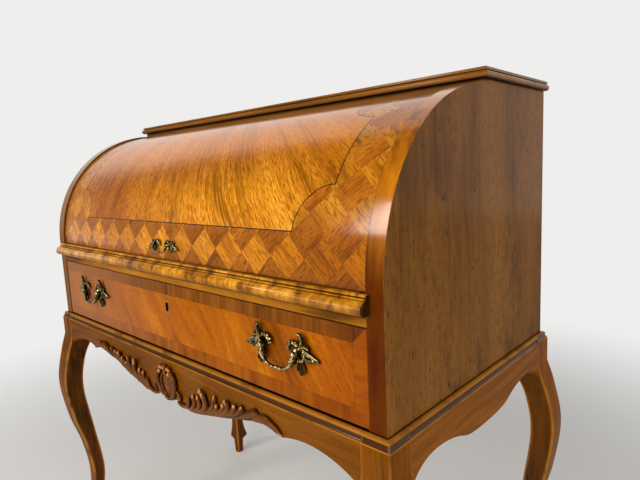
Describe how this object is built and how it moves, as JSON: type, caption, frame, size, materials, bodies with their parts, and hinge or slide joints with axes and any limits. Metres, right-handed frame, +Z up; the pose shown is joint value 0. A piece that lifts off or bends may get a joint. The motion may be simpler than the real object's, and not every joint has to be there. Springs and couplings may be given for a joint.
{
  "type": "cylinder desk",
  "caption": "Writing desk on cabriole legs with a quarter-cylinder lid that turns up into the case, a pull-out writing slide, a long drawer and an inner gallery.",
  "frame": {"origin": "floor level under the middle of the case", "axes": "+X to the sitter's right, +Y from the front of the desk to its back, +Z up"},
  "size_m": [1.0644, 0.5684, 1.0728],
  "materials": {
    "stand_walnut": "aged walnut, French polished",
    "carved_walnut": "carved walnut, darkened in the hollows",
    "case_walnut": "straight-grained walnut, worn satin polish",
    "veneered_walnut": "honey walnut veneer, lozenge parquetry border, French polished",
    "moulding_walnut": "cross-grained figured walnut, polished",
    "lining_oak": "bare oak, waxed",
    "gallery_walnut": "walnut, satin",
    "antique_brass": "cast brass, darkened in the hollows",
    "steel": "plain steel"
  },
  "bodies": {
    "desk": {"leg_front_right": "stand_walnut", "leg_front_left": "stand_walnut", "leg_rear_right": "stand_walnut", "leg_rear_left": "stand_walnut", "apron_front": "stand_walnut", "apron_right": "stand_walnut", "apron_left": "stand_walnut", "apron_rear": "stand_walnut", "apron_carving": "carved_walnut", "glue_blocks": "lining_oak", "side_panel_right": "case_walnut", "side_panel_left": "case_walnut", "case_bottom": "lining_oak", "back_panel": "case_walnut", "frieze_rail": "case_walnut", "top_board": "case_walnut", "drawer_rail": "moulding_walnut", "slide_runner_right": "lining_oak", "slide_runner_left": "lining_oak", "dust_panel": "lining_oak", "drawer_stops": "lining_oak", "pivot_pin_right": "steel", "pivot_pin_left": "steel", "gallery_floor": "gallery_walnut", "gallery_end_right": "gallery_walnut", "gallery_end_left": "gallery_walnut", "gallery_top": "gallery_walnut", "gallery_back": "gallery_walnut", "gallery_shelf": "gallery_walnut", "drawer_dividers": "gallery_walnut", "pigeonhole_partitions": "gallery_walnut"},
    "lid": {"lid_shell": "veneered_walnut", "lid_arm_left": "lining_oak", "lid_arm_right": "lining_oak", "lid_handle_mounts": "antique_brass", "lid_handle_nuts": "antique_brass"},
    "lid_grip": {"lid_bail": "antique_brass"},
    "slide": {"slide_board": "veneered_walnut", "slide_moulding": "moulding_walnut"},
    "drawer": {"drawer_front": "veneered_walnut", "drawer_side_left": "lining_oak", "drawer_side_right": "lining_oak", "drawer_back": "lining_oak", "drawer_bottom": "lining_oak", "drawer_lock": "steel", "keyhole_liner": "antique_brass", "handle_mounts_left": "antique_brass", "handle_mounts_right": "antique_brass", "drawer_handle_nuts": "antique_brass"},
    "bolt": {"lock_bolt": "steel"},
    "grip_left": {"bail_left": "antique_brass"},
    "grip_right": {"bail_right": "antique_brass"},
    "tray_left": {"small_drawer_front_left": "veneered_walnut", "small_drawer_tray_left": "lining_oak", "small_drawer_knob_left": "gallery_walnut"},
    "tray_right": {"small_drawer_front_right": "veneered_walnut", "small_drawer_tray_right": "lining_oak", "small_drawer_knob_right": "gallery_walnut"}
  },
  "joints": [
    {"name": "lid_turn", "type": "hinge", "parent": "desk", "child": "lid", "pos_m": [0, 0.0065, 0.7882], "axis": [-1, 0, 0], "range_deg": [0, 62]},
    {"name": "lid_grip_swing", "type": "hinge", "parent": "lid", "child": "lid_grip", "pos_m": [0, -0.25664, 0.80951], "axis": [-1, 0, 0], "range_deg": [0, 85]},
    {"name": "slide_pull", "type": "slide", "parent": "desk", "child": "slide", "axis": [0, -1, 0], "range_m": [0, 0.25]},
    {"name": "drawer_pull", "type": "slide", "parent": "desk", "child": "drawer", "axis": [0, -1, 0], "range_m": [0, 0.33]},
    {"name": "bolt_throw", "type": "slide", "parent": "drawer", "child": "bolt", "axis": [0, 0, 1], "range_m": [0, 0.007]},
    {"name": "grip_left_swing", "type": "hinge", "parent": "drawer", "child": "grip_left", "pos_m": [-0.317, -0.265, 0.685], "axis": [-1, 0, 0], "range_deg": [0, 85]},
    {"name": "grip_right_swing", "type": "hinge", "parent": "drawer", "child": "grip_right", "pos_m": [0.317, -0.265, 0.685], "axis": [-1, 0, 0], "range_deg": [0, 85]},
    {"name": "tray_left_pull", "type": "slide", "parent": "desk", "child": "tray_left", "axis": [0, -1, 0], "range_m": [0, 0.12]},
    {"name": "tray_right_pull", "type": "slide", "parent": "desk", "child": "tray_right", "axis": [0, -1, 0], "range_m": [0, 0.12]}
  ]
}
